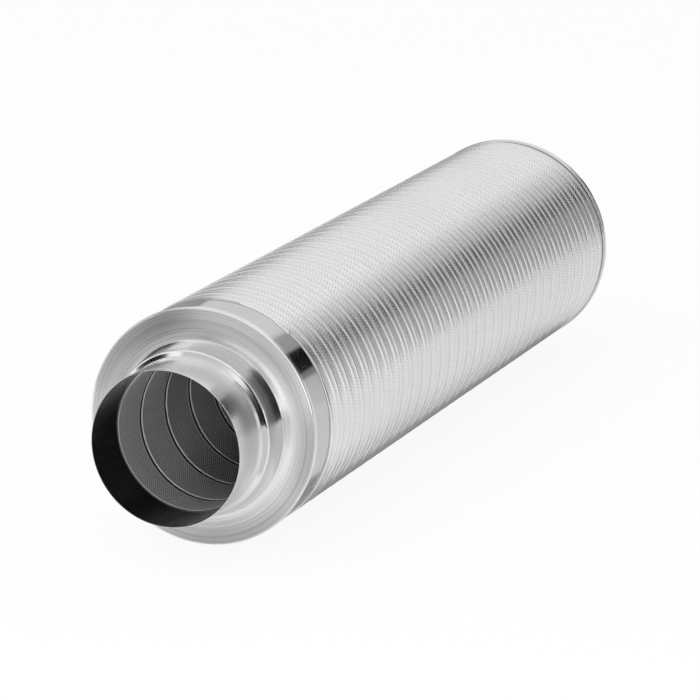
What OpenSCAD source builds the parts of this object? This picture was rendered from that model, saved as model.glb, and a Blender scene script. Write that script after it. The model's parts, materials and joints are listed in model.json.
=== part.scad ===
// Round duct sound attenuator: a perforated inner duct inside a semi-flexible outer duct,
// with mineral wool between them and a spun cap with a male spigot at each end.
// The air runs along +X. The origin is the centre of the inlet mouth, and +Z is up.

/* [Spigots] */
// Outside diameter of the male spigots
spigot_d = 159; // [120:1:170]
// Length of the plain spigot, from the mouth to the foot of the shoulder
spigot_len = 53; // [35:1:80]
// Length of the shoulder that stops a duct pushed on, along the spigot
shoulder_w = 6; // [4:0.5:9]
// Height of the shoulder above the spigot
shoulder_h = 5.5; // [4:0.5:7]
// Length of the flared collar between the shoulder and the end face
collar_len = 25; // [16:1:34]
// Rise of the collar towards the end face
collar_rise = 4.5; // [2:0.5:7]
// How far the spigot's tube runs on under the collar, where it holds the perforated duct
sleeve_len = 21; // [14:1:24]

/* [End faces] */
// Sheet thickness of the spun caps
cap_t = 1; // [0.6:0.1:1.2]
// Tilt of the crowned end face back from upright where it meets the rim, in degrees
face_tilt = 18; // [8:1:24]
// Radius of the rounded rim
rim_r = 3; // [2:0.5:4]
// Width of the rim's crown
rim_w = 1.5; // [0.5:0.5:3]
// Length of the skirt behind the rim
skirt_len = 70; // [60:1:90]

/* [Casing] */
// Length of the casing, from rim to rim
casing_len = 900; // [500:10:1200]
// Diameter of the casing over the lock seam
casing_d = 243; // [236:1:262]
// Bare skirt between the foot of the inlet rim and the outer duct
inlet_bare = 37; // [5:1:45]
// Bare skirt between the foot of the outlet rim and the outer duct
outlet_bare = 1; // [0.5:0.5:30]

/* [Outer duct] */
// Advance of the lock seam in one turn
seam_pitch = 27.4; // [24:0.2:44]
// Height of the lock seam above the strip
seam_h = 1.5; // [0.8:0.1:2]
// Height of the rib between two turns of the seam
rib_h = 0.7; // [0.3:0.1:0.8]
// Distance from the lock seam to the rib behind it, along the axis
rib_at = 15.6; // [10:0.2:18]
// Thickness of the folded strip
strip_t = 0.45; // [0.3:0.05:0.8]
// Angle about the axis where the seam starts, from +Y towards +Z
seam_angle = 125; // [0:1:359]

/* [Inner duct] */
// How far behind the foot of the shoulder the perforated duct starts
inner_back = 6; // [1:1:10]
// Thickness of the perforated duct
inner_t = 0.5; // [0.3:0.05:0.8]

/* [Filling] */
// Thickness of the fleece round the perforated duct
fleece_t = 1; // [0.5:0.1:2]
// Room left between pieces that slide or pack together
clearance = 0.2; // [0.1:0.05:0.4]

/* [Hidden] */
$fn = 96;

// Sides of the outer duct's outline, profile rows in one turn of its seam, and the rib's row among them
duct_sides = 36;
turn_rows = 4;
rib_row = 2;
rib_share = rib_at / seam_pitch;
// Steps of a rounded corner and of a flank in the caps' outline
arc_steps = 6;
// Width over which the turns cut off at a duct end are gathered
end_lip = 0.2;

spigot_r = spigot_d / 2;
shoulder_r = spigot_r + shoulder_h;
collar_r = shoulder_r + collar_rise;
rim_outer_r = casing_d / 2;

// The outer duct's walls, worked inwards from the seam to the skirt that carries it
strip_r = casing_d / 2 - seam_h;
duct_bore_r = (strip_r - strip_t) * cos(180 / duct_sides);
skirt_r = duct_bore_r - clearance;

// The air passage and its linings, worked outwards from the perforated duct
inner_r = spigot_r - cap_t - clearance;
fleece_r = inner_r + clearance;
wool_in_r = fleece_r + fleece_t + clearance;
wool_out_r = skirt_r - cap_t - clearance;

// Stations of the cap along the axis, from its mouth
shoulder_x = spigot_len + shoulder_w;
collar_x = shoulder_x + collar_len;
sleeve_x = spigot_len + sleeve_len;
// The crowned face leaves the collar upright and runs smoothly into the rim
face_r = (rim_outer_r - collar_r - rim_r * (1 - sin(face_tilt))) / sin(face_tilt);
crown_x = collar_x + face_r * (1 - cos(face_tilt)) + rim_r * cos(face_tilt);
rim_x = crown_x - rim_r;
skirt_x = crown_x + rim_w + rim_outer_r - skirt_r;
total_len = 2 * rim_x + casing_len;

inner_start = spigot_len + inner_back;
duct_start = skirt_x + inlet_bare;
duct_end = total_len - skirt_x - outlet_bare;
fill_start = rim_x + cap_t + clearance;

// Points of an arc about a centre, in the plane of [along the axis, radius]
function arc(centre, radius, from, to) = [
    for (i = [0 : arc_steps])
        let (a = from + (to - from) * i / arc_steps)
        centre + radius * [cos(a), sin(a)]
];

// Points of a smooth flank that leaves and arrives level
function flank(a, b) = [
    for (i = [0 : arc_steps])
        let (t = i / arc_steps)
        [a[0] + (b[0] - a[0]) * t, a[1] + (b[1] - a[1]) * (1 - cos(180 * t)) / 2]
];

// Outside of a cap, from the mouth to the end of the skirt
function cap_outline() = concat(
    [[0, spigot_r]],
    flank([spigot_len, spigot_r], [shoulder_x, shoulder_r]),
    arc([collar_x + face_r, collar_r], face_r, 180, 180 - face_tilt),
    arc([crown_x, rim_outer_r - rim_r], rim_r, 180 - face_tilt - 90 / arc_steps, 90),
    flank([crown_x + rim_w, rim_outer_r], [skirt_x, skirt_r]),
    [[rim_x + skirt_len, skirt_r]]
);

function unit(v) = v / norm(v);
function left_of(v) = [-v[1], v[0]];

// A point of an outline moved sideways, square to the two edges that meet there
function side_step(path, i, step) = let (
    last = len(path) - 1,
    before = left_of(unit(path[max(i, 1)] - path[max(i, 1) - 1])),
    after = left_of(unit(path[min(i, last - 1) + 1] - path[min(i, last - 1)])),
    way = unit(before + after)
) path[i] + way * step / (way * before);

// Closed section of a cap: the sheet inside its outline, and the tube that runs on under the collar
function cap_section(path) = let (
    under = [
        for (i = [len(path) - 1 : -1 : 0])
            let (p = side_step(path, i, -cap_t))
            if (p[0] > spigot_len && p[1] > spigot_r) p
    ],
    crease_x = under[len(under) - 1][0]
) concat(
    path,
    under,
    [[crease_x, spigot_r], [sleeve_x, spigot_r], [sleeve_x, spigot_r - cap_t], [0, spigot_r - cap_t]]
);

// A section in [along the axis, radius], turned about the X axis
module turned(section) {
    rotate([0, 90, 0])
        rotate_extrude()
            polygon([for (p = section) [p[1], p[0]]]);
}

// A plain tube along the X axis
module tube(from_x, to_x, in_r, out_r) {
    turned([[from_x, in_r], [to_x, in_r], [to_x, out_r], [from_x, out_r]]);
}

// Radius of the wound strip at a profile row; rows may be fractions, and repeat every turn
function strip_profile(row) = let (
    heights = [seam_h, 0, rib_h, 0],
    at = row - turn_rows * floor(row / turn_rows),
    low = floor(at),
    share = at - low
) strip_r + heights[low] * (1 - share) + heights[(low + 1) % turn_rows] * share;

// Share of a turn at a row within it, and the row at a share; the rib's row lies rib_at behind the seam
function share_at(row) = row < rib_row
    ? rib_share * row / rib_row
    : rib_share + (1 - rib_share) * (row - rib_row) / (turn_rows - rib_row);
function row_of(share) = share < rib_share
    ? rib_row * share / rib_share
    : rib_row + (turn_rows - rib_row) * (share - rib_share) / (1 - rib_share);

// Place along the axis of a profile row at one side of the outline, on the endless strip
function strip_x(row, side) = let (turn = floor(row / turn_rows))
    duct_start + seam_pitch * (turn + share_at(row - turn * turn_rows) + side / duct_sides);

// Row of the endless strip that lies at a place along the axis
function row_at(x, side) = let (
    turns = (x - duct_start) / seam_pitch - side / duct_sides,
    turn = floor(turns)
) turn * turn_rows + row_of(turns - turn);

function on_axis(x, radius, side) = let (a = seam_angle + 360 * side / duct_sides)
    [x, radius * cos(a), radius * sin(a)];

// A point of the strip; what lies past a cut end is gathered into the lip there
function strip_point(row, side) = let (
    x = strip_x(row, side),
    end_x = min(max(x, duct_start), duct_end),
    radius = x == end_x ? strip_profile(row) : strip_profile(row_at(end_x, side))
) on_axis(end_x + (x - end_x) * end_lip / seam_pitch, radius, side);

// The wound strip: its rows climb one turn of the seam with each lap of the outline
module wound_strip() {
    last_row = ceil(turn_rows * (duct_end - duct_start) / seam_pitch);
    rows = last_row + 2 * turn_rows;
    sides = duct_sides;
    bore_start = (rows - turn_rows + 1) * sides;
    bore_end = bore_start + sides;
    bore_corner = strip_r - strip_t;

    // Index of a point; past the last side the outline goes on one turn further up
    function at(row, side) = side < sides ? row * sides + side : (row + turn_rows) * sides;
    function rim_at(start, side) = start + side % sides;

    top_row = rows - turn_rows;
    points = concat(
        [for (row = [0 : top_row], side = [0 : sides - 1]) strip_point(row - turn_rows, side)],
        [for (side = [0 : sides - 1]) on_axis(duct_start - end_lip, bore_corner, side)],
        [for (side = [0 : sides - 1]) on_axis(duct_end + end_lip, bore_corner, side)]
    );
    outside = [
        for (side = [0 : sides - 1])
            for (row = [0 : (side < sides - 1 ? top_row : top_row - turn_rows) - 1])
                let (a = at(row, side), b = at(row + 1, side), c = at(row + 1, side + 1), d = at(row, side + 1))
                    each [[a, b, c], [a, c, d]]
    ];
    bore = [
        for (side = [0 : sides - 1])
            let (a = rim_at(bore_start, side), b = rim_at(bore_start, side + 1),
                 c = rim_at(bore_end, side + 1), d = rim_at(bore_end, side))
                each [[a, b, c], [a, c, d]]
    ];
    start_face = concat(
        [for (side = [0 : sides - 1])
            let (a = at(0, side), b = at(0, side + 1),
                 c = rim_at(bore_start, side + 1), d = rim_at(bore_start, side))
                each [[a, b, c], [a, c, d]]],
        [for (row = [turn_rows : -1 : 1]) [at(row, 0), at(row - 1, 0), rim_at(bore_start, 0)]]
    );
    end_face = concat(
        [for (side = [0 : sides - 1])
            let (a = at(side < sides - 1 ? top_row : top_row - turn_rows, side),
                 b = side < sides - 1 ? at(top_row, side + 1) : at(top_row, 0),
                 c = rim_at(bore_end, side + 1), d = rim_at(bore_end, side))
                each [[a, c, b], [a, d, c]]],
        [for (row = [top_row - turn_rows : top_row - 1])
            [at(row, sides - 1), at(row + 1, sides - 1), rim_at(bore_end, sides - 1)]]
    );
    polyhedron(points, concat(outside, bore, start_face, end_face), convexity = 10);
}

module spun_cap() {
    turned(cap_section(cap_outline()));
}

module outer_duct() {
    color("silver") wound_strip();
}

module inlet_end_cap() {
    color("gainsboro") spun_cap();
}

module outlet_end_cap() {
    color("gainsboro") translate([total_len, 0, 0]) mirror([1, 0, 0]) spun_cap();
}

module inner_duct() {
    color("darkgray") tube(inner_start, total_len - inner_start, inner_r - inner_t, inner_r);
}

module absorber() {
    color("khaki") tube(fill_start, total_len - fill_start, wool_in_r, wool_out_r);
}

module facing_fleece() {
    color("dimgray") tube(fill_start, total_len - fill_start, fleece_r, fleece_r + fleece_t);
}

outer_duct();
inlet_end_cap();
outlet_end_cap();
inner_duct();
absorber();
facing_fleece();
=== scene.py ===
# %% [markdown]
# # A round duct sound attenuator
#
# This part is a straight silencer for a ventilation duct. Air runs through a perforated inner duct, and a
# thick ring of mineral wool round it soaks up the sound. A duct wound from thin aluminium strip holds the
# wool in, and a spun aluminium cap with a plain spigot closes each end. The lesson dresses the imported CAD
# model: every new piece is made in the frame of the solids, so that it lands where they are.

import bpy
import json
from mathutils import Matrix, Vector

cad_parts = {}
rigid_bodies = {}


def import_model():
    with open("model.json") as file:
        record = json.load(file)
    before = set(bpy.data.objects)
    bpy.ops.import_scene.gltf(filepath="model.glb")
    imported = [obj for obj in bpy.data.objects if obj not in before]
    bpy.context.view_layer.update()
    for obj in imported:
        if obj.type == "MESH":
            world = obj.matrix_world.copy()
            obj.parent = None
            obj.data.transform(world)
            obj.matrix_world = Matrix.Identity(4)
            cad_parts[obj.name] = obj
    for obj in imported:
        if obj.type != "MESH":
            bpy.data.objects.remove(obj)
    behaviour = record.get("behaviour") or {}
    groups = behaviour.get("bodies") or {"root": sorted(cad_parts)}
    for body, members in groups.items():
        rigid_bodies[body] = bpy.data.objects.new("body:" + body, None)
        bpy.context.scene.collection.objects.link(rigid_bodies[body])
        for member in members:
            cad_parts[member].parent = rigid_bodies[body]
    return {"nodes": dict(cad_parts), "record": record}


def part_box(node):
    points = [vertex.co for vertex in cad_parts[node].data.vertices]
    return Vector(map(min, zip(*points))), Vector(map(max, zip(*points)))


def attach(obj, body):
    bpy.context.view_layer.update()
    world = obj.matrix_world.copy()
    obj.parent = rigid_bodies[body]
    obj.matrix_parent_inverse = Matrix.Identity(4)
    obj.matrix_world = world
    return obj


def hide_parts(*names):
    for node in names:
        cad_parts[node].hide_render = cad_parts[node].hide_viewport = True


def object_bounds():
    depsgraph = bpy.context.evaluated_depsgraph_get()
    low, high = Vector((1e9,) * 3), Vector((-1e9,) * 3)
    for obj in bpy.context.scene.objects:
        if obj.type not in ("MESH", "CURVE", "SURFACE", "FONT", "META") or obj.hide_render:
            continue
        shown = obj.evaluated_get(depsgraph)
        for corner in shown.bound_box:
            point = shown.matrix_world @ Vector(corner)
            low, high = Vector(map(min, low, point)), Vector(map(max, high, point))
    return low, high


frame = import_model()
cad_low, cad_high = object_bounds()
print("CAD box in metres:", tuple(cad_low), tuple(cad_high))

# %% Bring in the tools
import json
import math

import bpy
import numpy as np
from mathutils import Vector

MM = 0.001
FULL_TURN = 2 * math.pi
scene = bpy.context.scene
scene.view_settings.view_transform = "Standard"

# %% [markdown]
# ## Sizes that come from the solids
#
# The CAD model already knows how long and how wide each piece is. Reading those sizes from the frame, and
# not writing them down again, keeps the two models together. The air runs along X, and Z is up.

# %% Read the main sizes
duct_low, duct_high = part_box("outer_duct")
_, cap_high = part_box("inlet_end_cap")
tube_low, tube_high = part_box("inner_duct")
mounts = {mount["name"]: mount for mount in frame["record"]["mounts"]}
spigot_radius = mounts["inlet_spigot"]["dims"]["r_mm"] * MM
spigot_length = mounts["inlet_spigot"]["dims"]["length_mm"] * MM
bore_radius = mounts["air_bore"]["dims"]["r_mm"] * MM
total_length = cad_high[0]
rim_radius = min(cap_high[1], cap_high[2])
seam_radius = min(duct_high[1], duct_high[2])
floor_level = cad_low[2]
print("total length", round(total_length, 4), "rim radius", round(rim_radius, 5))

# %% [markdown]
# ## The camera
#
# The photo was taken from far away with a long lens, because both ends of the casing look almost the same
# size. The camera stands in front of the inlet, a little above the axis and to one side of it, and looks
# along the part. A fixed place and a fixed aim point are easier to read than three rotation angles.

# %% Set up the camera
camera_place = Vector((-3.4901, -1.5970, 1.0794))
camera_aim = Vector((0.4644, -0.0068, -0.0100))
camera_data = bpy.data.cameras.new("photo_camera")
camera_data.sensor_width = 36.0
camera_data.lens = 210.87
camera = bpy.data.objects.new("photo_camera", camera_data)
camera.location = camera_place
camera.rotation_euler = (camera_aim - camera_place).to_track_quat("-Z", "Y").to_euler()
scene.collection.objects.link(camera)
scene.camera = camera
print("camera is", round((camera_aim - camera_place).length, 2), "m from its aim point")

# %% [markdown]
# ## Nodes without the clutter
#
# Materials, the floor and the world are all node trees. A few small helpers keep them short: one adds a node,
# sets its options and fills its inputs, and the others add the sums and coordinates that come back often.

# %% Helpers for node trees
def put(tree, kind, feeds, **options):
    """Adds a node, sets its options, and fills its inputs with numbers or with other nodes' outputs."""
    made = tree.nodes.new(kind)
    for option, value in options.items():
        setattr(made, option, value)
    for key, value in feeds.items():
        if isinstance(value, bpy.types.NodeSocket):
            tree.links.new(value, made.inputs[key])
        else:
            made.inputs[key].default_value = value
    return made


def maths(tree, operation, first, second=0.0):
    """The result of one Math node."""
    return put(tree, "ShaderNodeMath", {0: first, 1: second}, operation=operation).outputs[0]


def hypotenuse(tree, first, second):
    """The straight distance over two steps at right angles."""
    squares = [maths(tree, "MULTIPLY", step, step) for step in (first, second)]
    return maths(tree, "SQRT", maths(tree, "ADD", *squares))


def object_place(tree):
    """The x, y and z of a point on a piece."""
    coordinates = put(tree, "ShaderNodeTexCoord", {}).outputs["Object"]
    return put(tree, "ShaderNodeSeparateXYZ", {0: coordinates}).outputs


def new_material(name):
    """A fresh node material, its tree and its shader."""
    material = bpy.data.materials.new(name)
    material.use_nodes = True
    return material, material.node_tree, material.node_tree.nodes["Principled BSDF"]


# %% [markdown]
# ## A white room for bright metal
#
# Polished metal has hardly any colour of its own: it shows the room. The room here is plain white, with a
# white floor that keeps a soft shadow. Rays from the camera and from reflections see the full white, and the
# light that falls on the part is a little weaker, so that soft lamps can add some direction.

# %% The white surroundings
ROOM_LIGHT = 0.8
world = bpy.data.worlds.new("white_room")
world.use_nodes = True
scene.world = world
room = world.node_tree
light_path = put(room, "ShaderNodeLightPath", {})
seen = maths(room, "MAXIMUM", light_path.outputs["Is Camera Ray"], light_path.outputs["Is Glossy Ray"])
seen = maths(room, "MAXIMUM", seen, light_path.outputs["Is Transmission Ray"])
strength = maths(room, "ADD", maths(room, "MULTIPLY", seen, 1.0 - ROOM_LIGHT), ROOM_LIGHT)
room.nodes["Background"].inputs["Color"].default_value = (1.0, 1.0, 1.0, 1.0)
room.links.new(strength, room.nodes["Background"].inputs["Strength"])
print("the room lights the part at", ROOM_LIGHT, "of full white")


# %% The floor
def stage_plane(name, corners, material):
    """A flat four-cornered sheet that belongs to the studio and not to the part."""
    mesh = bpy.data.meshes.new(name)
    mesh.from_pydata(corners, [], [(0, 1, 2, 3)])
    mesh.materials.append(material)
    sheet = bpy.data.objects.new(name, mesh)
    scene.collection.objects.link(sheet)
    return sheet


FLOOR_REACH = 40.0
FLOOR_WHITE = 0.93
CAMERA_LIFT = 0.90
REFLECTION_LIFT = 0.15
floor_paint, floor_tree, floor_shader = new_material("white_floor")
floor_shader.inputs["Base Color"].default_value = (FLOOR_WHITE, FLOOR_WHITE, FLOOR_WHITE, 1.0)
floor_shader.inputs["Roughness"].default_value = 1.0
floor_shader.inputs["Specular IOR Level"].default_value = 0.0
floor_path = put(floor_tree, "ShaderNodeLightPath", {})
mirrored = maths(floor_tree, "MAXIMUM", floor_path.outputs["Is Glossy Ray"],
                 floor_path.outputs["Is Transmission Ray"])
lift = maths(floor_tree, "MAXIMUM",
             maths(floor_tree, "MULTIPLY", floor_path.outputs["Is Camera Ray"], CAMERA_LIFT),
             maths(floor_tree, "MULTIPLY", mirrored, REFLECTION_LIFT))
floor_glow = put(floor_tree, "ShaderNodeEmission", {"Color": (1.0, 1.0, 1.0, 1.0), "Strength": 1.0})
floor_mix = put(floor_tree, "ShaderNodeMixShader",
                {0: lift, 1: floor_shader.outputs[0], 2: floor_glow.outputs[0]})
floor_tree.links.new(floor_mix.outputs[0], floor_tree.nodes["Material Output"].inputs["Surface"])
floor_corners = [(-FLOOR_REACH, -FLOOR_REACH), (FLOOR_REACH, -FLOOR_REACH),
                 (FLOOR_REACH, FLOOR_REACH), (-FLOOR_REACH, FLOOR_REACH)]
stage_plane("floor", [(x, y, floor_level) for x, y in floor_corners], floor_paint)
print("floor at", round(floor_level, 4))

# %% [markdown]
# ## Cards that shape the reflections
#
# A bright cylinder in an all-white room would look like paper. A photographer stands dark and grey cards
# round it, and the metal shows them as bands along its length. These cards do the same. Tall cards at the
# right, black between greys, make the dark band on the casing. Cards and mats at the left and below darken
# the lower edges, a far wall and a sheet overhead keep the top an even light grey, and black cards in front
# make the dark crescents beside the spigot. Only reflections see them, so they throw no shadow and never
# stand in the picture.


# %% Helpers for cards
def card(name, corners, brightness):
    """A flat card of one brightness that only mirror-like reflections can see."""
    material, tree, _ = new_material(name)
    shade = (brightness, brightness, brightness, 1.0)
    glow = put(tree, "ShaderNodeEmission", {"Color": shade, "Strength": 1.0})
    tree.links.new(glow.outputs[0], tree.nodes["Material Output"].inputs["Surface"])
    sheet = stage_plane(name, corners, material)
    sheet.visible_camera = False
    sheet.visible_diffuse = False
    sheet.visible_shadow = False
    sheet.visible_transmission = False
    sheet.visible_volume_scatter = False
    return sheet


FAR_AWAY = 60.0
RIGHT = -1.7
LEFT = 2.2
BACK = 14.0


def upright(name, start, end, bottom, top, brightness):
    """A card that stands upright between two places on the floor."""
    return card(name, [(*start, bottom), (*end, bottom), (*end, top), (*start, top)], brightness)


def beside(name, y, from_x, bottom, top, brightness):
    """A long card beside the part, parallel to its axis, that runs off into the distance."""
    return upright(name, (from_x, y), (FAR_AWAY, y), bottom, top, brightness)


def in_front(name, azimuths, elevations, brightness, distance=3.2):
    """An upright card in front of the inlet, between two compass angles and two heights in degrees."""
    turns = [math.radians(azimuth) for azimuth in azimuths]
    start, end = [(distance * math.cos(turn), distance * math.sin(turn)) for turn in turns]
    bottom, top = [max(floor_level, distance * math.tan(math.radians(rise))) for rise in elevations]
    return upright(name, start, end, bottom, top, brightness)


def level(name, from_x, to_x, from_y, to_y, brightness, z=floor_level + 1.0 * MM):
    """A level card, on the floor unless a height is given."""
    corners = [(from_x, from_y, z), (to_x, from_y, z), (to_x, to_y, z), (from_x, to_y, z)]
    return card(name, corners, brightness)


# %% Cards beside the part
beside("right_low", RIGHT, 2.0, floor_level, 0.70, 0.70)
beside("right_grey", RIGHT, 2.4, 0.70, 0.92, 0.22)
beside("right_black", RIGHT, 2.4, 0.92, 2.13, 0.0)
beside("right_high", RIGHT, 2.4, 2.13, 5.0, 0.40)
upright("right_side", (-0.3, RIGHT), (1.9, RIGHT), 0.55, 2.6, 0.57)
beside("near_right", -0.55, 1.10, -0.06, 0.29, 0.24)
beside("left_low", LEFT, 0.8, floor_level, 0.85, 0.36)
print("cards stand", -RIGHT, "m to the right and", LEFT, "m to the left")

# %% Cards below, behind and above
level("left_mat", 0.3, FAR_AWAY, 0.16, LEFT, 0.40)
level("right_mat", 0.3, FAR_AWAY, RIGHT, -0.16, 0.74)
level("under_mat", 0.17, 0.96, -0.12, 0.10, 0.30)
upright("back_wall", (BACK, -3.9), (BACK, 9.0), floor_level, 7.7, 0.76)
upright("left_high", (1.2, LEFT), (4.6, LEFT), 0.85, 3.0, 0.30)
level("front_right_mat", -1.3, -0.02, -1.3, -0.10, 0.62)
level("overhead", -0.7, 7.2, -0.9, 3.4, 0.86, 3.6)
level("front_above", -2.6, -0.8, -1.3, 1.6, 0.60, 2.4)
level("front_mat", -3.0, -0.45, 0.12, 2.2, 0.50)
print("the back wall stands", BACK, "m behind the inlet")

# %% Cards in front of the inlet
in_front("front_wall", (118, 190), (-5, 11), 0.46)
in_front("front_left", (138, 153), (-5, 21), 0.0, 2.6)
in_front("front_left_high", (104, 130), (18, 38), 0.0)
in_front("front_panel", (190, 210), (-5, 26), 1.4)
in_front("front_right", (211, 232), (-5, 47), 0.0)
in_front("front_far_right", (232, 266), (-5, 47), 0.0)
card_count = sum(thing.type == "MESH" and not thing.visible_camera for thing in scene.objects)
print("cards in the studio:", card_count)

# %% [markdown]
# ## Two soft lamps
#
# A large lamp overhead gives the floor its soft shadow. A small one beside the camera looks into the mouth,
# because the perforated duct lies deep in the dark. Mirror-like metal would show a lamp as a hard white
# square, so reflections don't see either of them.


# %% Hang the lamps
def soft_lamp(name, shape, size, watts, place, aim):
    """An area lamp that stands at a place, looks at another and can't be seen in reflections."""
    data = bpy.data.lights.new(name, "AREA")
    data.shape = shape
    data.size = size
    data.energy = watts
    lamp = bpy.data.objects.new(name, data)
    lamp.location = place
    lamp.rotation_euler = (Vector(aim) - Vector(place)).to_track_quat("-Z", "Y").to_euler()
    lamp.visible_glossy = False
    scene.collection.objects.link(lamp)
    print(name, "has", watts, "W")


soft_lamp("softbox", "SQUARE", 3.0, 20.0, (-0.6, 1.0, 2.6), (0.5, 0.0, 0.0))
soft_lamp("mouth_lamp", "DISK", 0.6, 16.0, (-1.5, -0.80, 0.10), (0.1, 0.0, 0.0))

# %% [markdown]
# ## Finishes that several materials share
#
# Three effects come back in more than one material, so each is a node group with its own inputs. The first
# tells where a point lies on a strip wound as a helix: how far across the strip, and how far round. The
# second varies a roughness as handling does. The third is a mat of short fibres.


# %% A helper for groups
def new_group(name, inputs, outputs):
    """An empty shader group with number sockets, and its two end nodes."""
    group = bpy.data.node_groups.new(name, "ShaderNodeTree")
    for title, usual in inputs.items():
        group.interface.new_socket(title, in_out="INPUT", socket_type="NodeSocketFloat").default_value = usual
    for title in outputs:
        group.interface.new_socket(title, in_out="OUTPUT", socket_type="NodeSocketFloat")
    return group, group.nodes.new("NodeGroupInput").outputs, group.nodes.new("NodeGroupOutput").inputs


# %% Where a point lies on a wound strip
winding, given, result = new_group("winding", {"Pitch": 0.03, "Start": 0.0}, ["Across", "Round", "Radius"])
spot = object_place(winding)
turns = maths(winding, "DIVIDE", maths(winding, "ARCTAN2", spot[2], spot[1]), FULL_TURN)
along = maths(winding, "DIVIDE", maths(winding, "SUBTRACT", spot[0], given["Start"]), given["Pitch"])
radius = hypotenuse(winding, spot[1], spot[2])
winding.links.new(maths(winding, "FRACT", maths(winding, "SUBTRACT", along, turns)), result["Across"])
winding.links.new(turns, result["Round"])
winding.links.new(radius, result["Radius"])
print("group", winding.name, "has", len(winding.nodes), "nodes")

# %% Marks of handling
BROAD_SHARE = 0.65
handling, given, result = new_group("handling", {"Rough": 0.25, "Spread": 0.06}, ["Roughness", "Cloud"])
spot = put(handling, "ShaderNodeTexCoord", {}).outputs["Object"]
broad = put(handling, "ShaderNodeTexNoise", {"Vector": spot, "Scale": 9.0, "Detail": 3.0}).outputs[0]
fine = put(handling, "ShaderNodeTexNoise", {"Vector": spot, "Scale": 140.0, "Detail": 2.0}).outputs[0]
cloud = maths(handling, "ADD", maths(handling, "MULTIPLY", broad, BROAD_SHARE),
              maths(handling, "MULTIPLY", fine, 1.0 - BROAD_SHARE))
swing = maths(handling, "MULTIPLY", maths(handling, "SUBTRACT", cloud, 0.5), given["Spread"])
handling.links.new(maths(handling, "ADD", given["Rough"], swing), result["Roughness"])
handling.links.new(cloud, result["Cloud"])
print("group", handling.name, "has", len(handling.nodes), "nodes")

# %% A mat of fibres
CLUMP_SCALE = 0.15
fibres, given, result = new_group("fibres", {"Scale": 300.0}, ["Strands", "Clumps"])
spot = put(fibres, "ShaderNodeTexCoord", {}).outputs["Object"]
strands = put(fibres, "ShaderNodeTexNoise", {"Vector": spot, "Scale": given["Scale"], "Detail": 6.0,
                                            "Distortion": 2.5}).outputs[0]
clump_scale = maths(fibres, "MULTIPLY", given["Scale"], CLUMP_SCALE)
clumps = put(fibres, "ShaderNodeTexNoise", {"Vector": spot, "Scale": clump_scale, "Detail": 2.0}).outputs[0]
fibres.links.new(strands, result["Strands"])
fibres.links.new(clumps, result["Clumps"])
print("group", fibres.name, "has", len(fibres.nodes), "nodes")


# %% Small helpers for materials
def placed(tree, group, **values):
    """Places a group in a material with its own values, and hands back its outputs."""
    made = put(tree, "ShaderNodeGroup", {}, node_tree=group)
    for title, value in values.items():
        made.inputs[title].default_value = value
    return made.outputs


def ramp(tree, value, low, high, start=0.0, end=1.0):
    """A smooth step of a value from one level to another."""
    feeds = {"Value": value, "From Min": low, "From Max": high, "To Min": start, "To Max": end}
    return put(tree, "ShaderNodeMapRange", feeds, interpolation_type="SMOOTHSTEP").outputs[0]


def grey(shade):
    """A colour without a tint."""
    return (shade, shade, shade)


def shade_between(tree, amount, dark, light):
    """A colour that goes from one to another; the Mix node's colour sockets are picked by number."""
    mixer = tree.nodes.new("ShaderNodeMix")
    mixer.data_type = "RGBA"
    tree.links.new(amount, mixer.inputs[0])
    mixer.inputs[6].default_value = (*dark, 1.0)
    mixer.inputs[7].default_value = (*light, 1.0)
    return mixer.outputs[2]


# %% [markdown]
# ## Bright strip with a crimp
#
# The casing is wound from rolled aluminium strip. Rolling leaves it bright, and the winding machine presses
# rows of small dots, the crimp, into the strip between one seam and the next. The dots are far finer than
# the mesh, so a bump makes them. Two waves, one round the casing and one across the strip, are multiplied,
# and only the tops of the product are kept: that leaves staggered dots on a flat strip. The ridges are
# painted a little darker, a painted shade that dims their reflection, and the edge at the outlet is painted
# dark, a painted shadow in the gap where it meets the rim of the cap.

# %% The casing's finish
SEAM_PITCH = 27.4 * MM
SEAM_ANGLE = math.radians(125)
seam_start = duct_low[0] - SEAM_PITCH * SEAM_ANGLE / FULL_TURN
CRIMPS = 220
CRIMP_ROWS = 2.5
CRIMP_DEPTH = 0.20 * MM
CRIMP_START = (0.06, 0.10)
CRIMP_END = (0.93, 0.88)
DOT_TOPS = (0.25, 0.85)
STRIP_TONES = (0.93, 0.99)
RIDGE_FOOT = (seam_radius - 1.05 * MM, seam_radius - 0.75 * MM)
# painted shade: the ridges' colour is darkened so that their reflection is dimmer
RIDGE_SHADE_TONE = 0.84
# painted shadow: the casing's colour goes dark towards its outlet edge, in the gap at the cap's rim
GAP_SHADOW_WIDTH = (2.2 * MM, 3.8 * MM)
GAP_SHADOW_TONE = 0.05
wound_aluminium, tree, shader = new_material("wound_aluminium")
shader.inputs["Metallic"].default_value = 1.0
strip = placed(tree, winding, Pitch=SEAM_PITCH, Start=seam_start)
marks = placed(tree, handling, Rough=0.25, Spread=0.08)
wave = maths(tree, "SINE", maths(tree, "MULTIPLY", strip["Round"], CRIMPS * FULL_TURN))
rows = maths(tree, "SINE", maths(tree, "MULTIPLY", strip["Across"], CRIMP_ROWS * FULL_TURN))
dots = ramp(tree, maths(tree, "MULTIPLY", wave, rows), *DOT_TOPS)
crimped = maths(tree, "MULTIPLY", ramp(tree, strip["Across"], *CRIMP_START),
                ramp(tree, strip["Across"], *CRIMP_END))
height = maths(tree, "MULTIPLY", dots, crimped)
bump = put(tree, "ShaderNodeBump", {"Height": height, "Strength": 1.0, "Distance": CRIMP_DEPTH})
tree.links.new(bump.outputs[0], shader.inputs["Normal"])
tree.links.new(marks["Roughness"], shader.inputs["Roughness"])
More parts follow.
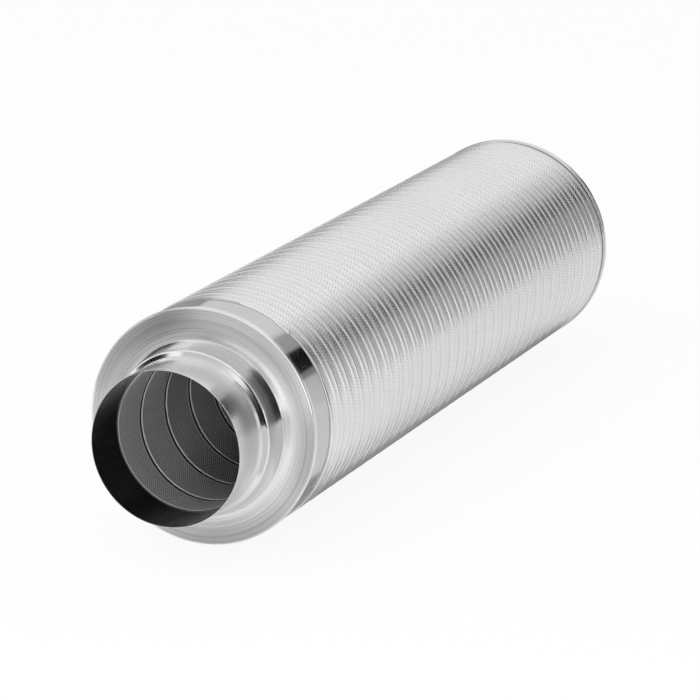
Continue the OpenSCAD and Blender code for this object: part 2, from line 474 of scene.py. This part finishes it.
# painted shade on the ridges, multiplied into the strip's colour
ridge_shade = ramp(tree, strip["Radius"], *RIDGE_FOOT, 1.0, RIDGE_SHADE_TONE)
to_edge = maths(tree, "SUBTRACT", duct_high[0], object_place(tree)[0])
# painted shadow at the outlet edge
gap_shadow = ramp(tree, to_edge, *GAP_SHADOW_WIDTH, GAP_SHADOW_TONE, 1.0)
tone = maths(tree, "MULTIPLY", maths(tree, "MULTIPLY", ridge_shade, gap_shadow),
             ramp(tree, marks["Cloud"], 0.0, 1.0, *STRIP_TONES))
tree.links.new(shade_between(tree, tone, grey(0.0), grey(1.0)), shader.inputs["Base Color"])
print(wound_aluminium.name, "has", len(tree.nodes), "nodes")

# %% [markdown]
# ## Spun metal
#
# A cap is pressed over a turning former with a roller, which leaves fine rings round the axis. The rings
# blur a reflection across them and keep it sharp along them. The shader's anisotropy does that: its tangent
# follows the rings, and a quarter turn sets the blur across them. A noise that hardly changes round the axis
# gives the end face its streaks. Handling makes the outer end face rougher than the spigot. The outer part
# of the end face and the skirt are painted darker, a painted shade, and the inside of the spigot is painted
# dark, a painted shade, because hardly any light gets there.

# %% Where the caps' finish changes
RING_DRIFT = 0.006
RING_SCALE = 700.0
RING_DEPTH = 0.06 * MM
SMOOTH_SHARE = 0.05
FACE_INNER = (90.0 * MM, 94.0 * MM)
FACE_BACK = (88.4 * MM, 89.2 * MM)
SPIGOT_BACK = (50.0 * MM, 58.0 * MM)
WORN_RADII = (95.0 * MM, 104.0 * MM)
# painted shade: radii over which the end face is painted darker
FACE_SHADE_RADII = (97.0 * MM, 114.0 * MM)
INSIDE_RADII = (78.7 * MM, 79.2 * MM)
SKIRT_FRONT = (93.0 * MM, 96.0 * MM)
GROOVE_LEVELS = (0.36, 0.64)
GROOVE_TONE = 0.20
# painted shade on the outer part of the end face
FACE_SHADE_TONE = 0.20
# painted shade: the inside of the spigot is painted dark
INSIDE_SHADE_TONE = 0.25
# painted shade: the skirt is painted darker
SKIRT_SHADE_TONE = 0.78
SPIGOT_ROUGHER = 0.04
FACE_ROUGHER = (0.04, 0.18)
print("the end face takes its own finish from", round(FACE_INNER[0] / MM), "mm off the axis")

# %% The caps' finish
spun_aluminium, tree, shader = new_material("spun_aluminium")
shader.inputs["Metallic"].default_value = 1.0
shader.inputs["Anisotropic"].default_value = 0.6
shader.inputs["Anisotropic Rotation"].default_value = 0.25
rings = put(tree, "ShaderNodeTangent", {}, direction_type="RADIAL", axis="X")
tree.links.new(rings.outputs[0], shader.inputs["Tangent"])
where = placed(tree, winding, Pitch=1.0, Start=0.0)
spot = object_place(tree)
axial = spot[0]
ring_place = put(tree, "ShaderNodeCombineXYZ", {
    "X": maths(tree, "ADD", axial, maths(tree, "MULTIPLY", spot[1], RING_DRIFT)),
    "Y": where["Radius"],
    "Z": maths(tree, "MULTIPLY", spot[2], RING_DRIFT)}).outputs[0]
ring_noise = {"Vector": ring_place, "Scale": RING_SCALE, "Detail": 3.0}
ring_marks = put(tree, "ShaderNodeTexNoise", ring_noise).outputs[0]
marks = placed(tree, handling, Rough=0.13, Spread=0.06)
mouth_distance = maths(tree, "MINIMUM", axial, maths(tree, "SUBTRACT", total_length, axial))
on_face = maths(tree, "MULTIPLY", ramp(tree, where["Radius"], *FACE_INNER),
                ramp(tree, mouth_distance, *FACE_BACK, 1.0, 0.0))
handled = maths(tree, "ADD", ramp(tree, mouth_distance, *SPIGOT_BACK, SPIGOT_ROUGHER, 0.0),
                maths(tree, "MULTIPLY", on_face, ramp(tree, where["Radius"], *WORN_RADII, *FACE_ROUGHER)))
tree.links.new(maths(tree, "ADD", marks["Roughness"], handled), shader.inputs["Roughness"])
ring_share = maths(tree, "ADD", maths(tree, "MULTIPLY", on_face, 1.0 - SMOOTH_SHARE), SMOOTH_SHARE)
ring_height = maths(tree, "MULTIPLY", ring_marks, ring_share)
bump = put(tree, "ShaderNodeBump", {"Height": ring_height, "Strength": 1.0, "Distance": RING_DEPTH})
tree.links.new(bump.outputs[0], shader.inputs["Normal"])
groove = maths(tree, "MULTIPLY", on_face, ramp(tree, ring_marks, *GROOVE_LEVELS, GROOVE_TONE, 0.0))
# painted shade: the end face's colour darkens towards its rim
face_shade = maths(tree, "MULTIPLY", on_face, ramp(tree, where["Radius"], *FACE_SHADE_RADII, 0.0, FACE_SHADE_TONE))
tone = maths(tree, "SUBTRACT", maths(tree, "SUBTRACT", 1.0, groove), face_shade)
# painted shade inside the spigot
tone = maths(tree, "MULTIPLY", tone, ramp(tree, where["Radius"], *INSIDE_RADII, INSIDE_SHADE_TONE, 1.0))
# painted shade on the skirt
tone = maths(tree, "MULTIPLY", tone, ramp(tree, mouth_distance, *SKIRT_FRONT, 1.0, SKIRT_SHADE_TONE))
tree.links.new(shade_between(tree, tone, grey(0.02), grey(0.87)), shader.inputs["Base Color"])
print(spun_aluminium.name, "has", len(tree.nodes), "nodes")

# %% [markdown]
# ## Perforated strip
#
# The inner duct is wound from strip that is full of small holes. Near the mouths the holes are real, and
# further in, where nobody looks closely, dark dots laid out on the same helix stand for them.

# %% The inner duct's finishes
TUBE_PITCH = 59.5 * MM
TUBE_SEAM_AT = 114.8 * MM
HOLES_ROUND = 176
HOLE_ROWS = 20
ROW_STEP = 2.42 * MM
HOLE_RADIUS = 0.9 * MM
SEAM_MARGIN = 3.0 * MM
hole_step = FULL_TURN * bore_radius / HOLES_ROUND


def satin_strip(name):
    """The satin metal of the inner duct, without holes."""
    material, tree, shader = new_material(name)
    shader.inputs["Metallic"].default_value = 0.55
    marks = placed(tree, handling, Rough=0.42, Spread=0.12)
    tree.links.new(marks["Roughness"], shader.inputs["Roughness"])
    return material, tree, shader, marks


plain_strip, tree, shader, marks = satin_strip("plain_inner_strip")
tree.links.new(shade_between(tree, marks["Cloud"], grey(0.68), grey(0.80)), shader.inputs["Base Color"])

dotted_strip, tree, shader, marks = satin_strip("perforated_aluminium")
strip = placed(tree, winding, Pitch=TUBE_PITCH, Start=TUBE_SEAM_AT)
behind_seam = maths(tree, "MULTIPLY", strip["Across"], TUBE_PITCH)
row_place = maths(tree, "DIVIDE", maths(tree, "SUBTRACT", behind_seam, SEAM_MARGIN), ROW_STEP)
row_number = maths(tree, "FLOOR", row_place)
half = maths(tree, "MULTIPLY", maths(tree, "MODULO", row_number, 2.0), 0.5)
round_place = maths(tree, "SUBTRACT", maths(tree, "MULTIPLY", strip["Round"], HOLES_ROUND), half)
off_round, off_row = [
    maths(tree, "MULTIPLY", maths(tree, "SUBTRACT", maths(tree, "FRACT", place), 0.5), step)
    for place, step in ((round_place, hole_step), (row_place, ROW_STEP))]
metal = ramp(tree, hypotenuse(tree, off_round, off_row), HOLE_RADIUS * 0.85, HOLE_RADIUS * 1.1)
tree.links.new(shade_between(tree, metal, grey(0.01), grey(0.74)), shader.inputs["Base Color"])
print(dotted_strip.name, "has", HOLE_ROWS, "rows of", HOLES_ROUND, "holes in each turn")

# %% [markdown]
# ## Wool and fleece
#
# The wool fills the ring between the two ducts, and a thin dark fleece keeps its fibres out of the air. The
# fleece shows only through the holes and the slit of the inner duct. Both solids keep their CAD shape and
# get a fibrous finish.

# %% Dress the soft fillings
STRAND_SHARE = 0.7
FELT_LEVELS = (0.35, 0.65)


def felted(name, scale, dark, light, depth):
    """A dull mat of fibres in two tones."""
    material, tree, shader = new_material(name)
    shader.inputs["Roughness"].default_value = 0.95
    mat = placed(tree, fibres, Scale=scale)
    tone = maths(tree, "ADD", maths(tree, "MULTIPLY", mat["Strands"], STRAND_SHARE),
                 maths(tree, "MULTIPLY", mat["Clumps"], 1.0 - STRAND_SHARE))
    colour = shade_between(tree, ramp(tree, tone, *FELT_LEVELS), dark, light)
    tree.links.new(colour, shader.inputs["Base Color"])
    bump = put(tree, "ShaderNodeBump", {"Height": mat["Strands"], "Strength": 0.8, "Distance": depth})
    tree.links.new(bump.outputs[0], shader.inputs["Normal"])
    return material


def dress(node, material):
    """Gives a CAD node that stays in view its material."""
    mesh = frame["nodes"][node].data
    mesh.materials.clear()
    mesh.materials.append(material)
    print(node, "keeps its CAD shape and is dressed as", material.name)


dress("absorber", felted("mineral_wool", 260.0, (0.48, 0.42, 0.24), (0.74, 0.68, 0.46), 1.5 * MM))
fleece = felted("fleece", 900.0, grey(0.012), grey(0.05), 0.3 * MM)
dress("facing_fleece", fleece)


# %% [markdown]
# ## From points to pieces
#
# Every shape below is a grid of points bent round the axis, so one helper turns points and faces into a
# piece, smooths it, gives it its finish, and hangs it on the body it rides on.

# %% A helper for pieces
def make_piece(name, points, faces, material, normals=None):
    """A smooth mesh piece that rides on the part."""
    mesh = bpy.data.meshes.new(name)
    mesh.from_pydata(points.tolist(), [], faces)
    mesh.materials.append(material)
    mesh.shade_smooth()
    if normals is not None:
        mesh.normals_split_custom_set_from_vertices(normals.tolist())
    mesh.validate()
    piece = bpy.data.objects.new(name, mesh)
    scene.collection.objects.link(piece)
    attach(piece, "root")
    triangles = sum(len(face) - 2 for face in faces)
    print(name, "has", len(points), "points and", triangles, "triangles")
    return piece


def on_cylinder(x, angle, radius):
    """Points at a place along the axis, an angle from +Y towards +Z, and a radius."""
    x, angle, radius = np.broadcast_arrays(x, angle, radius)
    return np.stack([x, radius * np.cos(angle), radius * np.sin(angle)], axis=-1)


# %% [markdown]
# ## The wound casing
#
# The strip is folded into the edge of its neighbour, which leaves a raised seam that runs round the casing
# as a screw thread, and a lower rib stiffens the strip between the seams. A modifier could sweep a profile
# round the axis, but the ends must be cut square, so the mesh is laid out directly: rows follow the strip,
# columns stand round the axis, and rows that pass an end are gathered on it. A short loose end of the strip
# lies over the front edge as a piece of its own.

# %% The strip's cross section
SEAM_RISE = 1.5 * MM
strip_radius = seam_radius - SEAM_RISE
# Each pair is a distance behind the seam's crest and the rise there, in millimetres, over one turn.
STRIP_PROFILE = np.array([
    (0.0, 1.5), (0.45, 1.42), (0.9, 1.05), (1.3, 0.62), (1.8, 0.40), (6.0, 0.27), (10.0, 0.12), (13.9, 0.0),
    (14.5, 0.12), (15.0, 0.50), (15.6, 0.70), (16.2, 0.62), (16.8, 0.47), (20.0, 0.43), (25.5, 0.43),
    (25.9, 0.52), (26.3, 0.86), (26.65, 1.22), (27.0, 1.45), (27.4, 1.5)]) * MM


def strip_rise(across):
    """How far the strip stands out at a distance behind the seam's crest, in metres."""
    return np.interp(np.mod(across, SEAM_PITCH), STRIP_PROFILE[:, 0], STRIP_PROFILE[:, 1])


print("seams are", round(SEAM_PITCH / MM, 1), "mm apart and stand out", round(SEAM_RISE / MM, 1), "mm")

# %% Wind the casing
COLUMNS = 144
PRESSED = 4.0 * MM
EDGE_SINK = 0.35 * MM
stations_across = STRIP_PROFILE[:-1, 0]
rows_per_turn = len(stations_across)
turn_count = int(math.ceil((duct_high[0] - duct_low[0]) / SEAM_PITCH)) + 2
row_across = (np.arange(turn_count)[:, None] * SEAM_PITCH + stations_across[None, :]).ravel()
angles = np.arange(COLUMNS) / COLUMNS * FULL_TURN
true_x = seam_start - SEAM_PITCH + row_across[:, None] + SEAM_PITCH * angles[None, :] / FULL_TURN
held_x = np.clip(true_x, duct_low[0], duct_high[0])
across = held_x - seam_start - SEAM_PITCH * angles[None, :] / FULL_TURN
edge_distance = np.minimum(held_x - duct_low[0], duct_high[0] - held_x)
pressed_down = np.clip(edge_distance / PRESSED, 0.0, 1.0)
pressed_down = pressed_down * pressed_down * (3 - 2 * pressed_down)
skin = strip_radius + strip_rise(across) * pressed_down - EDGE_SINK * (1 - pressed_down)
casing_points = on_cylinder(held_x, angles[None, :], skin).reshape(-1, 3)

columns_x = true_x.T
first_row = np.array([np.searchsorted(place, duct_low[0], side="right") - 1 for place in columns_x])
last_row = np.array([np.searchsorted(place, duct_high[0], side="left") for place in columns_x])
casing_faces = []
for column in range(COLUMNS):
    following = (column + 1) % COLUMNS
    shift = rows_per_turn if following == 0 else 0
    low = min(first_row[column], first_row[following] - shift)
    high = max(last_row[column], last_row[following] - shift)
    for row in range(low, high):
        near = [np.clip(r, first_row[column], last_row[column]) for r in (row, row + 1)]
        far = [np.clip(r + shift, first_row[following], last_row[following]) for r in (row + 1, row)]
        corners = [int(r) * COLUMNS + column for r in near] + [int(r) * COLUMNS + following for r in far]
        corners = list(dict.fromkeys(corners))
        if len(corners) > 2:
            casing_faces.append(corners[::-1])
print("the strip goes round", turn_count - 2, "times")

# %% Close the casing inside
LINING_DEPTH = 0.6 * MM
lining = strip_radius - LINING_DEPTH
inner_rings = []
for end_x in (duct_low[0], duct_high[0]):
    inner_rings.append(len(casing_points))
    casing_points = np.vstack([casing_points, on_cylinder(end_x, angles, lining)])
for column in range(COLUMNS):
    following = (column + 1) % COLUMNS
    front = [first_row[column] * COLUMNS + column, first_row[following] * COLUMNS + following]
    back = [last_row[column] * COLUMNS + column, last_row[following] * COLUMNS + following]
    inner_front = [inner_rings[0] + column, inner_rings[0] + following]
    inner_back = [inner_rings[1] + column, inner_rings[1] + following]
    casing_faces.append([int(i) for i in (front[0], front[1], inner_front[1], inner_front[0])])
    casing_faces.append([int(i) for i in (back[1], back[0], inner_back[0], inner_back[1])])
    casing_faces.append([int(i) for i in (inner_front[0], inner_front[1], inner_back[1], inner_back[0])])
kept = np.unique(np.concatenate([np.array(face) for face in casing_faces]))
renumber = np.full(len(casing_points), -1)
renumber[kept] = np.arange(len(kept))
casing_faces = [[int(renumber[i]) for i in face] for face in casing_faces]
casing = make_piece("casing", casing_points[kept], casing_faces, wound_aluminium)
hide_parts("outer_duct")

# %% The end of the strip
END_FROM, END_TO = math.radians(120.5), math.radians(130.5)
END_COLUMNS = 13
END_SINK = 0.6 * MM
END_REACH = np.array([-1.6, -1.5, 0.0, 1.5, 3.0, 3.1]) * MM
END_RISE = np.array([-0.6, 0.45, 0.75, 0.75, 0.45, -0.6]) * MM
end_angles = np.linspace(END_FROM, END_TO, END_COLUMNS)
taper = np.where((end_angles > END_FROM) & (end_angles < END_TO), 1.0, 0.0)[:, None]
end_rise = np.minimum(END_RISE[None, :], END_RISE[None, :] * taper - END_SINK * (1 - taper))
end_x = duct_low[0] + END_REACH[None, :]
end_points = on_cylinder(end_x, end_angles[:, None], strip_radius + end_rise).reshape(-1, 3)
across_count = len(END_REACH)
end_faces = []
for step in range(END_COLUMNS - 1):
    for place in range(across_count - 1):
        corner = step * across_count + place
        end_faces.append([corner, corner + across_count, corner + across_count + 1, corner + 1])
make_piece("strip_end", end_points, end_faces, wound_aluminium)

# %% [markdown]
# ## The spun end caps
#
# One sheet makes the spigot, the shoulder, the flared collar, the crowned end face, the rim and the skirt.
# Its section is a line of straight runs with rounded corners. The line is given a thickness with a rounded
# edge, and then turned round the axis, as on a lathe. The normals come straight from the section, because
# on polished metal even a small error in them shows.


# %% A line with rounded corners
ARC_STEP = math.radians(3)


def rounded_line(corners):
    """Points and outward normals along straight runs; each corner is (x, radius, size of its rounding)."""
    points = []
    normals = []

    def add(point, normal):
        points.append(point)
        normals.append(normal / np.linalg.norm(normal))

    def side(direction):
        return np.array([-direction[1], direction[0]])

    spots = [np.array(corner[:2]) for corner in corners]
    add(spots[0], side(spots[1] - spots[0]))
    for index in range(1, len(spots) - 1):
        corner = spots[index]
        arriving = corner - spots[index - 1]
        leaving = spots[index + 1] - corner
        arriving = arriving / np.linalg.norm(arriving)
        leaving = leaving / np.linalg.norm(leaving)
        cross = arriving[0] * leaving[1] - arriving[1] * leaving[0]
        bend = math.atan2(cross, float(arriving @ leaving))
        size = corners[index][2]
        reach = size * math.tan(abs(bend) / 2)
        start = corner - arriving * reach
        turn_side = 1.0 if bend > 0 else -1.0
        centre = start + side(arriving) * size * turn_side
        steps = max(3, int(math.ceil(abs(bend) / ARC_STEP)))
        for step in range(steps + 1):
            swung = bend * step / steps
            heading = np.array([arriving[0] * math.cos(swung) - arriving[1] * math.sin(swung),
                                arriving[0] * math.sin(swung) + arriving[1] * math.cos(swung)])
            add(centre - side(heading) * size * turn_side, side(heading))
    add(spots[-1], side(spots[-1] - spots[-2]))
    return np.array(points), np.array(normals)


def thickened(points, normals, thickness, edge_steps=6):
    """A closed section: the line, a rounded edge, the line's other side, and the other rounded edge."""
    middle_start = points[0] - normals[0] * thickness / 2
    middle_end = points[-1] - normals[-1] * thickness / 2

    def edge(centre, normal, outward):
        swings = np.linspace(0, math.pi, edge_steps + 2)[1:-1]
        around = np.array([normal * math.cos(s) + outward * math.sin(s) for s in swings])
        return centre + around * thickness / 2, around

    start_along = points[0] - points[1]
    end_along = points[-1] - points[-2]
    far_edge = edge(middle_end, normals[-1], end_along / np.linalg.norm(end_along))
    near_edge = edge(middle_start, -normals[0], start_along / np.linalg.norm(start_along))
    section = np.vstack([points, far_edge[0], (points - normals * thickness)[::-1], near_edge[0]])
    facing = np.vstack([normals, far_edge[1], -normals[::-1], near_edge[1]])
    return section, facing


# %% Turn a section round the axis
def turned(name, section, facing, columns, material, mirrored=False):
    """A closed section of (x, radius) points, turned into a ring; mirrored puts it at the outlet."""
    angles = np.arange(columns) / columns * FULL_TURN
    points = on_cylinder(section[:, 0][None, :], angles[:, None], section[:, 1][None, :])
    normals = on_cylinder(facing[:, 0][None, :], angles[:, None], facing[:, 1][None, :])
    count = len(section)
    points = points.reshape(-1, 3)
    normals = normals.reshape(-1, 3)
    if mirrored:
        points[:, 0] = total_length - points[:, 0]
        normals[:, 0] = -normals[:, 0]
    faces = []
    for column in range(columns):
        here = column * count
        there = ((column + 1) % columns) * count
        for step in range(count):
            after = (step + 1) % count
            face = [here + step, there + step, there + after, here + after]
            faces.append(face[::-1] if mirrored else face)
    return make_piece(name, points, faces, material, normals)


# %% Spin the caps
SHEET = 1.0 * MM
SHOULDER_FOOT = spigot_length + 1.2 * MM
SHOULDER_TOP = spigot_length + 4.8 * MM
SHOULDER_RISE = 5.5 * MM
FOOT_ROUND = 1.0 * MM
TOP_ROUND = 4.0 * MM
COLLAR_END = spigot_length + 31.0 * MM
COLLAR_RISE = 10.0 * MM
COLLAR_ROUND = 0.8 * MM
FACE_BEND = 25.3 * MM
FACE_ROUND = 92.0 * MM
FACE_TILT = math.radians(18)
RIM_ROUND = 1.4 * MM
RIM_LENGTH = 6.3 * MM
RIM_BACK = 2.6 * MM
RIM_BACK_ROUND = RIM_BACK * 0.9
SKIRT_ROUND = 0.2 * MM
CAP_COLUMNS = 192
bend_radius = spigot_radius + FACE_BEND
rim_corner = COLLAR_END + (rim_radius - bend_radius) * math.tan(FACE_TILT)
rim_back = rim_corner + RIM_LENGTH
skirt_radius = rim_radius - RIM_BACK
cap_line = rounded_line([
    (SHEET / 2, spigot_radius, 0.0),
    (SHOULDER_FOOT, spigot_radius, FOOT_ROUND),
    (SHOULDER_TOP, spigot_radius + SHOULDER_RISE, TOP_ROUND),
    (COLLAR_END, spigot_radius + COLLAR_RISE, COLLAR_ROUND),
    (COLLAR_END, bend_radius, FACE_ROUND),
    (rim_corner, rim_radius, RIM_ROUND),
    (rim_back, rim_radius, RIM_BACK_ROUND),
    (rim_back, skirt_radius, SKIRT_ROUND),
    (cap_high[0] - SHEET / 2, skirt_radius, 0.0),
])
cap_section, cap_facing = thickened(*cap_line, SHEET)
inlet_cap = turned("inlet_cap", cap_section, cap_facing, CAP_COLUMNS, spun_aluminium)
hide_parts("inlet_end_cap")
outlet_cap = turned("outlet_cap", cap_section, cap_facing, CAP_COLUMNS, spun_aluminium,
                    mirrored=True)
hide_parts("outlet_end_cap")

# %% [markdown]
# ## The perforated inner duct
#
# Its strip is covered with small staggered holes, in rows that follow the strip. A boolean for each hole
# would take minutes, so the holes are laid out as cells: each cell has six corners on its border and six
# on its hole, and short walls give the sheet its thickness. Real holes are cut near both mouths only. The
# edges of the strip don't meet: a small bead follows one of them, and an open slit beside it shows the dark
# fleece. A hem finishes each end, a sleeve from the cap holds it, and a ring of fleece is tucked in between.


# %% Cells with holes
HEM = 1.6 * MM
HOLED_LENGTH = 108.0 * MM
TUBE_SHEET = 0.15 * MM


def strip_points(turn, across, radius):
    """Points on the wound strip: a number of turns, a distance behind the seam, and a radius."""
    return on_cylinder(TUBE_SEAM_AT + TUBE_PITCH * turn + across, FULL_TURN * turn, radius)


def holed_strip(name, from_x, to_x):
    """The strip between two places along the axis, with real holes."""
    lowest = int(math.floor((from_x - TUBE_SEAM_AT - TUBE_PITCH) / TUBE_PITCH * HOLES_ROUND))
    highest = int(math.ceil((to_x - TUBE_SEAM_AT) / TUBE_PITCH * HOLES_ROUND))
    column, row = np.meshgrid(np.arange(lowest, highest), np.arange(HOLE_ROWS), indexing="ij")
    half_step = 2 * column + row % 2
    middle_turn = (half_step + 1) / (2 * HOLES_ROUND)
    middle_across = SEAM_MARGIN + (row + 0.5) * ROW_STEP
    middle_x = TUBE_SEAM_AT + TUBE_PITCH * middle_turn + middle_across
    wanted = (middle_x > from_x) & (middle_x < to_x)
    half_step, row = half_step[wanted], row[wanted]
    middle_turn, middle_across = middle_turn[wanted], middle_across[wanted]
    steps = half_step[:, None] + np.array([0, 1, 2, 2, 1, 0])
    lines = row[:, None] + np.array([0, 0, 0, 1, 1, 1])
    keys = (steps - 2 * lowest) * (HOLE_ROWS + 1) + lines
    border_keys, border = np.unique(keys, return_inverse=True)
    border = border.reshape(keys.shape)
    border_turn = (border_keys // (HOLE_ROWS + 1) + 2 * lowest) / (2 * HOLES_ROUND)
    border_across = SEAM_MARGIN + (border_keys % (HOLE_ROWS + 1)) * ROW_STEP
    border_points = strip_points(border_turn, border_across, bore_radius)
    swing = np.radians([210, 270, 330, 30, 90, 150])
    hole_turn = middle_turn[:, None] + HOLE_RADIUS * np.cos(swing) / (FULL_TURN * bore_radius)
    hole_across = middle_across[:, None] + HOLE_RADIUS * np.sin(swing)
    near = strip_points(hole_turn, hole_across, bore_radius).reshape(-1, 3)
    far = strip_points(hole_turn, hole_across, bore_radius + TUBE_SHEET).reshape(-1, 3)
    near_index = len(border_points) + np.arange(len(near)).reshape(-1, 6)
    far_index = near_index + len(near)
    after = [1, 2, 3, 4, 5, 0]
    sheet = np.stack([border, border[:, after], near_index[:, after], near_index], axis=-1)
    walls = np.stack([near_index, near_index[:, after], far_index[:, after], far_index], axis=-1)
    points = np.vstack([border_points, near, far])
    faces = np.vstack([sheet.reshape(-1, 4), walls.reshape(-1, 4)])[:, ::-1].tolist()
    piece = make_piece(name, points, faces, plain_strip)
    piece.data.set_sharp_from_angle(angle=math.radians(40))
    return piece


holed_from = tube_low[0] + HEM * 0.6
holed_to = tube_low[0] + HOLED_LENGTH
inlet_holes = holed_strip("inner_strip_inlet", holed_from, holed_to)
holed_strip("inner_strip_outlet", tube_high[0] - HOLED_LENGTH, tube_high[0] - HEM * 0.6)
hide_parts("inner_duct")


# %% A band of the strip
TUBE_COLUMNS = 88


def wound_band(name, from_x, to_x, across, radii, material):
    """A band of the strip between two places along the axis, as a grid of rows and columns."""
    lowest = int(math.floor((from_x - TUBE_SEAM_AT - TUBE_PITCH) / TUBE_PITCH * TUBE_COLUMNS))
    highest = int(math.ceil((to_x - TUBE_SEAM_AT + TUBE_PITCH) / TUBE_PITCH * TUBE_COLUMNS))
    turn = np.arange(lowest, highest + 1) / TUBE_COLUMNS
    points = strip_points(turn[:, None], across[None, :], radii[None, :])
    count = len(across)
    index = np.arange(len(turn) * count).reshape(len(turn), count)
    quads = np.stack([index[:-1, :-1], index[:-1, 1:], index[1:, 1:], index[1:, :-1]], axis=-1)
    centre_x = (points[:-1, :-1, 0] + points[1:, 1:, 0]) / 2
    quads = quads[(centre_x > from_x) & (centre_x < to_x)]
    kept, renumbered = np.unique(quads, return_inverse=True)
    faces = renumbered.reshape(quads.shape).tolist()
    return make_piece(name, points.reshape(-1, 3)[kept], faces, material)


# %% Wind the middle, the seam and the plain edge
MIDDLE_SINK = 0.02 * MM
SLIT = 5.0 * MM
# Each pair is a distance behind the strip's edge and how far the bead lies off the bore, in millimetres.
BEAD = np.array([(0.0, 0.30), (0.25, -0.20), (0.7, -0.55), (1.4, -0.60), (2.1, -0.35), (2.6, 0.0),
                 (3.0, 0.0)]) * MM
row_lines = SEAM_MARGIN + np.arange(HOLE_ROWS + 1) * ROW_STEP
wound_band("inner_strip_middle", holed_to - ROW_STEP, tube_high[0] - HOLED_LENGTH + ROW_STEP,
           row_lines, np.full(HOLE_ROWS + 1, bore_radius + MIDDLE_SINK), dotted_strip)
flat_end = SEAM_MARGIN + HOLE_ROWS * ROW_STEP - TUBE_PITCH
seam_from, seam_to = tube_low[0] + HEM * 0.5, tube_high[0] - HEM * 0.5
wound_band("inner_seam", seam_from, seam_to, BEAD[:, 0], bore_radius + BEAD[:, 1], plain_strip)
wound_band("inner_strip_edge", seam_from, seam_to, np.array([flat_end, -SLIT]), np.full(2, bore_radius),
           plain_strip)


# %% Rings at both ends of the inner duct
HEM_START = 0.35 * MM
HEM_THICKNESS = 0.75 * MM
SLEEVE_LENGTH = 21.0 * MM
TUCK_GAP = 0.05 * MM
TUCK_OVERLAP = 1.0 * MM
TUCK_THICKNESS = 0.1 * MM


def ring_pair(name, from_x, to_x, radius, thickness, material):
    """A plain ring between two places near the inlet, and its mirror image at the outlet."""
    line = rounded_line([(from_x, radius, 0.0), (to_x, radius, 0.0)])
    section, facing = thickened(*line, thickness)
    turned("inlet_" + name, section, facing, CAP_COLUMNS, material)
    turned("outlet_" + name, section, facing, CAP_COLUMNS, material, mirrored=True)


fleece_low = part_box("facing_fleece")[0]
ring_pair("hem", tube_low[0] + HEM_START, tube_low[0] + HEM, tube_high[2], HEM_THICKNESS,
          plain_strip)
ring_pair("tucked_fleece", tube_low[0] + HEM, fleece_low[0] + TUCK_OVERLAP, spigot_radius - SHEET - TUCK_GAP,
          TUCK_THICKNESS, fleece)
ring_pair("sleeve", spigot_length, spigot_length + SLEEVE_LENGTH, spigot_radius, SHEET,
          spun_aluminium)
